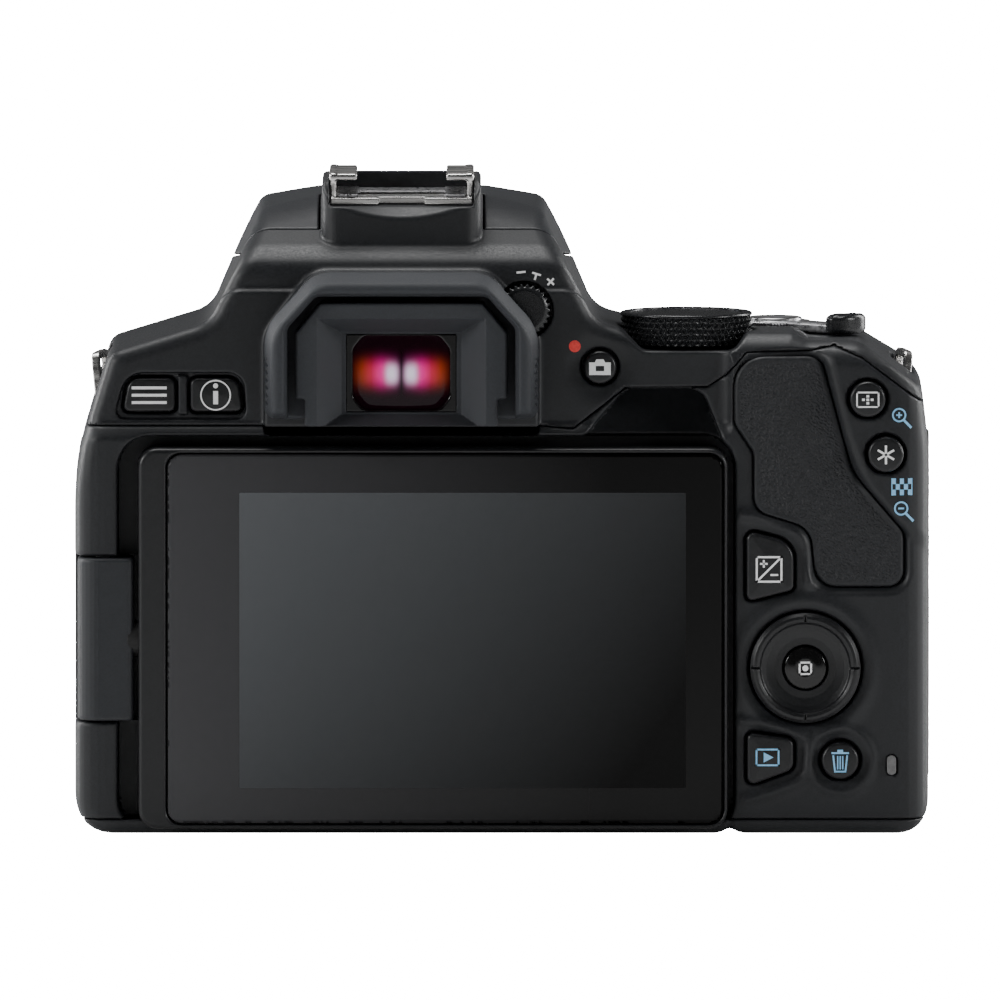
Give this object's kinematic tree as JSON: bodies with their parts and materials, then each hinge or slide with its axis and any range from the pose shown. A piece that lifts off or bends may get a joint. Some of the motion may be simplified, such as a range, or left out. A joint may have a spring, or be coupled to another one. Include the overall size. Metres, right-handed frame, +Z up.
{
  "type": "dslr camera",
  "caption": "Compact single-lens reflex camera body with side-hinged swing-out screen, pop-up flash, accessory shoe, bayonet lens mount and tripod socket.",
  "frame": {"origin": "centre of the tripod socket's mouth, in the base plane and straight under the lens axis", "axes": "+Z up; +Y along the lens axis towards the subject, so the screen faces -Y; +X towards the viewer's right hand"},
  "size_m": [0.1225, 0.0709, 0.0942],
  "materials": {
    "body_plastic": "fine spark-eroded grain, satin",
    "base_plastic": "fine grain, satin",
    "grip_rubber": "leather grain",
    "key_plastic": "satin",
    "ring_plastic": "satin gloss",
    "dial_plastic": "satin, knurled rim",
    "lever_plastic": "satin with a bright milled disc",
    "shutter_metal": "satin black",
    "pin_steel": "turned",
    "screw_steel": "blackened",
    "hinge_plastic": "satin",
    "panel_plastic": "satin",
    "screen_glass": "polished",
    "display_module": "polished",
    "eyecup_rubber": "soft matt",
    "eyepiece_glass": "coated, red and violet reflections",
    "black_plastic": "dull black",
    "black_metal": "dull black",
    "shoe_metal": "satin",
    "spring_steel": "bright",
    "flash_plastic": "fine grain, satin",
    "flash_window": "ribbed diffuser",
    "mount_metal": "turned, bright",
    "contact_plastic": "with gilt pins",
    "mirror": "front-silvered",
    "sensor": "green-violet filter glass",
    "circuit_board": "solder mask with chips",
    "socket_plastic": "moulded",
    "socket_metal": "plated",
    "chassis_metal": "stamped",
    "socket_steel": "turned",
    "battery_plastic": "moulded",
    "cover_rubber": "soft satin",
    "lug_metal": "satin black"
  },
  "bodies": {
    "camera_body": {"rear_cover": "body_plastic", "front_cover": "body_plastic", "top_cover": "body_plastic", "base_cover": "base_plastic", "case_screws": "screw_steel", "grip_rubber": "grip_rubber", "thumb_rest": "grip_rubber", "screen_swing_pins": "pin_steel", "eyepiece_lens": "eyepiece_glass", "pentamirror": "black_plastic", "accessory_shoe": "shoe_metal", "shoe_spring": "spring_steel", "lens_mount_ring": "mount_metal", "mount_screws": "screw_steel", "mirror_box": "black_plastic", "contact_block": "contact_plastic", "shutter_unit": "black_metal", "image_sensor": "sensor", "main_board": "circuit_board", "audio_board": "socket_plastic", "digital_board": "socket_metal", "chassis": "chassis_metal", "tripod_socket": "socket_steel", "battery": "battery_plastic", "strap_lugs": "lug_metal"},
    "mode_dial": {"mode_dial": "dial_plastic"},
    "power_lever": {"power_lever": "lever_plastic"},
    "main_dial": {"main_dial": "dial_plastic"},
    "shutter_button": {"shutter_button": "shutter_metal"},
    "iso_button": {"iso_button": "key_plastic"},
    "live_view_button": {"live_view_button": "key_plastic"},
    "menu_button": {"menu_button": "key_plastic"},
    "info_button": {"info_button": "key_plastic"},
    "exposure_button": {"exposure_button": "key_plastic"},
    "playback_button": {"playback_button": "key_plastic"},
    "erase_button": {"erase_button": "key_plastic"},
    "af_point_button": {"af_point_button": "key_plastic"},
    "ae_lock_button": {"ae_lock_button": "key_plastic"},
    "cross_key_plate": {"cross_key_plate": "key_plastic"},
    "cross_key_ring": {"cross_key_ring": "ring_plastic"},
    "set_button": {"set_button": "ring_plastic"},
    "lens_release_button": {"lens_release_button": "key_plastic"},
    "lens_lock_pin": {"lens_lock_pin": "pin_steel"},
    "dioptre_dial": {"dioptre_dial": "dial_plastic"},
    "screen": {"screen_hinge_block": "hinge_plastic", "screen_panel_shell": "panel_plastic", "screen_glass": "screen_glass", "screen_display": "display_module"},
    "eyecup": {"eyecup": "eyecup_rubber"},
    "flash": {"flash_cover": "flash_plastic", "flash_window": "flash_window"},
    "main_mirror": {"main_mirror": "black_metal", "mirror_glass": "mirror"},
    "sub_mirror": {"sub_mirror": "mirror"},
    "shutter_blade_upper": {"shutter_blade_upper": "black_metal"},
    "shutter_blade_lower": {"shutter_blade_lower": "black_metal"},
    "battery_door": {"battery_door": "base_plastic"},
    "battery_door_latch": {"battery_door_latch": "key_plastic"},
    "left_port_cover": {"left_port_cover": "cover_rubber"},
    "right_port_cover": {"right_port_cover": "cover_rubber"}
  },
  "joints": [
    {"name": "mode_dial_turn", "type": "hinge", "parent": "camera_body", "child": "mode_dial", "pos_m": [0.0408, -0.008, 0.072], "axis": [0, 0, 1], "continuous": true},
    {"name": "power_lever_turn", "type": "hinge", "parent": "camera_body", "child": "power_lever", "pos_m": [0.0536, 0.003, 0.072], "axis": [0, 0, 1], "range_deg": [0, 56]},
    {"name": "main_dial_turn", "type": "hinge", "parent": "camera_body", "child": "main_dial", "pos_m": [0.063, 0.018, 0.0639], "axis": [1, 0, 0], "continuous": true},
    {"name": "shutter_button_press", "type": "slide", "parent": "camera_body", "child": "shutter_button", "axis": [0, -0.2983, -0.9545], "range_m": [0, 0.0012], "stiffness_N_per_m": 500},
    {"name": "iso_button_press", "type": "slide", "parent": "camera_body", "child": "iso_button", "axis": [0, -0.2983, -0.9545], "range_m": [0, 0.0006], "stiffness_N_per_m": 600},
    {"name": "live_view_button_press", "type": "slide", "parent": "camera_body", "child": "live_view_button", "axis": [0, 1, 0], "range_m": [0, 0.0006], "stiffness_N_per_m": 600},
    {"name": "menu_button_press", "type": "slide", "parent": "camera_body", "child": "menu_button", "axis": [0, 1, 0], "range_m": [0, 0.0006], "stiffness_N_per_m": 600},
    {"name": "info_button_press", "type": "slide", "parent": "camera_body", "child": "info_button", "axis": [0, 1, 0], "range_m": [0, 0.0006], "stiffness_N_per_m": 600},
    {"name": "exposure_button_press", "type": "slide", "parent": "camera_body", "child": "exposure_button", "axis": [0, 1, 0], "range_m": [0, 0.0006], "stiffness_N_per_m": 600},
    {"name": "playback_button_press", "type": "slide", "parent": "camera_body", "child": "playback_button", "axis": [0, 1, 0], "range_m": [0, 0.0006], "stiffness_N_per_m": 600},
    {"name": "erase_button_press", "type": "slide", "parent": "camera_body", "child": "erase_button", "axis": [0, 1, 0], "range_m": [0, 0.0006], "stiffness_N_per_m": 600},
    {"name": "af_point_button_press", "type": "slide", "parent": "camera_body", "child": "af_point_button", "axis": [0, 1, 0], "range_m": [0, 0.0006], "stiffness_N_per_m": 600},
    {"name": "ae_lock_button_press", "type": "slide", "parent": "camera_body", "child": "ae_lock_button", "axis": [0, 1, 0], "range_m": [0, 0.0006], "stiffness_N_per_m": 600},
    {"name": "set_button_press", "type": "slide", "parent": "camera_body", "child": "set_button", "axis": [0, 1, 0], "range_m": [0, 0.0006], "stiffness_N_per_m": 600},
    {"name": "cross_key_left_right", "type": "hinge", "parent": "camera_body", "child": "cross_key_plate", "pos_m": [0.0578, -0.01805, 0.024], "axis": [0, 0, 1], "range_deg": [-2, 2], "stiffness_Nm_per_rad": 0.3},
    {"name": "cross_key_up_down", "type": "hinge", "parent": "cross_key_plate", "child": "cross_key_ring", "pos_m": [0.0578, -0.0187, 0.024], "axis": [1, 0, 0], "range_deg": [-2, 2], "stiffness_Nm_per_rad": 0.3},
    {"name": "lens_release_press", "type": "slide", "parent": "camera_body", "child": "lens_release_button", "axis": [0, -1, 0], "range_m": [0, 0.0015], "stiffness_N_per_m": 800},
    {"name": "lens_lock_pin_retract", "type": "slide", "parent": "camera_body", "child": "lens_lock_pin", "axis": [0, -1, 0], "range_m": [0, 0.0015]},
    {"name": "dioptre_turn", "type": "hinge", "parent": "camera_body", "child": "dioptre_dial", "pos_m": [0.0176, -0.018, 0.0752], "axis": [0, 1, 0], "range_deg": [-110, 110]},
    {"name": "screen_swing", "type": "hinge", "parent": "camera_body", "child": "screen", "pos_m": [-0.04235, -0.0167, 0.028], "axis": [0, 0, -1], "range_deg": [0, 175]},
    {"name": "eyecup_slide_off", "type": "slide", "parent": "camera_body", "child": "eyecup", "axis": [0, 0, 1], "range_m": [0, 0.03]},
    {"name": "flash_lift", "type": "hinge", "parent": "camera_body", "child": "flash", "pos_m": [0, -0.006, 0.086], "axis": [1, 0, 0], "range_deg": [0, 68]},
    {"name": "mirror_swing", "type": "hinge", "parent": "camera_body", "child": "main_mirror", "pos_m": [0, 0.0052, 0.048], "axis": [1, 0, 0], "range_deg": [0, 45]},
    {"name": "sub_mirror_fold", "type": "hinge", "parent": "main_mirror", "child": "sub_mirror", "pos_m": [0, 0.00881, 0.04171], "axis": [1, 0, 0], "range_deg": [0, 84.5]},
    {"name": "shutter_upper_drop", "type": "slide", "parent": "camera_body", "child": "shutter_blade_upper", "axis": [0, 0, -1], "range_m": [0, 0.0178]},
    {"name": "shutter_lower_drop", "type": "slide", "parent": "camera_body", "child": "shutter_blade_lower", "axis": [0, 0, -1], "range_m": [0, 0.0091]},
    {"name": "battery_door_swing", "type": "hinge", "parent": "camera_body", "child": "battery_door", "pos_m": [0.048, 0.01375, 0.0003], "axis": [0, 1, 0], "range_deg": [0, 90]},
    {"name": "battery_latch_slide", "type": "slide", "parent": "battery_door", "child": "battery_door_latch", "axis": [1, 0, 0], "range_m": [0, 0.0018]},
    {"name": "left_port_cover_swing", "type": "hinge", "parent": "camera_body", "child": "left_port_cover", "pos_m": [-0.04645, 0.0105, 0.044], "axis": [0, 0, -1], "range_deg": [0, 100]},
    {"name": "right_port_cover_swing", "type": "hinge", "parent": "camera_body", "child": "right_port_cover", "pos_m": [0.07515, -0.0041, 0.0262], "axis": [0, 0, 1], "range_deg": [0, 100]}
  ],
  "couplings": [
    {"joint": "lens_lock_pin_retract", "follows": "lens_release_press", "ratio": 1},
    {"joint": "sub_mirror_fold", "follows": "mirror_swing", "ratio": 1.8667},
    {"joint": "shutter_lower_drop", "follows": "shutter_upper_drop", "ratio": 0.5}
  ]
}
